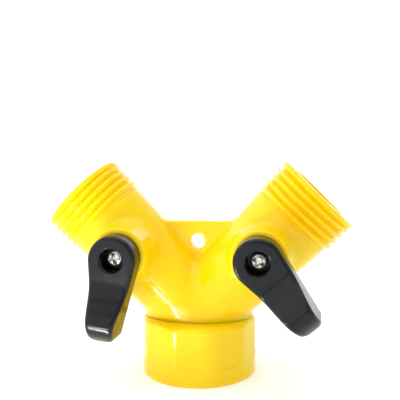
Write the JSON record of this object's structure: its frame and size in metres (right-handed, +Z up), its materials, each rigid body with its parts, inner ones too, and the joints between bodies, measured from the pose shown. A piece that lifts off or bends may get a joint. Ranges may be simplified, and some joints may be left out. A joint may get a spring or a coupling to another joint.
{
  "type": "hose splitter",
  "caption": "Y-shaped plastic garden hose splitter with a swivel coupling nut at the inlet and a lever-worked shut-off valve in each threaded outlet.",
  "frame": {"origin": "centre of the coupling nut's bottom face, on the inlet's axis", "axes": "+Z up along the inlet towards the outlets, +X towards the right outlet, the levers on the -Y side"},
  "size_m": [0.0898, 0.0485, 0.0629],
  "materials": {
    "yellow_plastic": "glossy moulded",
    "black_plastic": "glossy moulded",
    "steel": "nickel plated",
    "brass": "machined",
    "rubber": "matte moulded",
    "white_plastic": "polished",
    "seat_plastic": "satin"
  },
  "bodies": {
    "housing": {"body_shell": "yellow_plastic", "seat_inner_left": "seat_plastic", "seat_outer_left": "seat_plastic", "seat_inner_right": "seat_plastic", "seat_outer_right": "seat_plastic", "seat_retainer_left": "yellow_plastic", "seat_retainer_right": "yellow_plastic"},
    "coupling_nut": {"inlet_nut": "yellow_plastic", "inlet_washer": "rubber"},
    "valve_left": {"lever_left": "black_plastic", "lever_screw_left": "steel", "stem_left": "brass", "stem_oring_inner_left": "rubber", "stem_oring_outer_left": "rubber", "ball_left": "white_plastic"},
    "valve_right": {"lever_right": "black_plastic", "lever_screw_right": "steel", "stem_right": "brass", "stem_oring_inner_right": "rubber", "stem_oring_outer_right": "rubber", "ball_right": "white_plastic"}
  },
  "joints": [
    {"name": "nut_swivel", "type": "hinge", "parent": "housing", "child": "coupling_nut", "pos_m": [0, 0, 0.0085], "axis": [0, 0, 1], "continuous": true},
    {"name": "valve_left_turn", "type": "hinge", "parent": "housing", "child": "valve_left", "pos_m": [-0.01945, 0, 0.03744], "axis": [0, -1, 0], "range_deg": [-38, 52]},
    {"name": "valve_right_turn", "type": "hinge", "parent": "housing", "child": "valve_right", "pos_m": [0.01945, 0, 0.03744], "axis": [0, -1, 0], "range_deg": [-85.5, 4.5]}
  ]
}
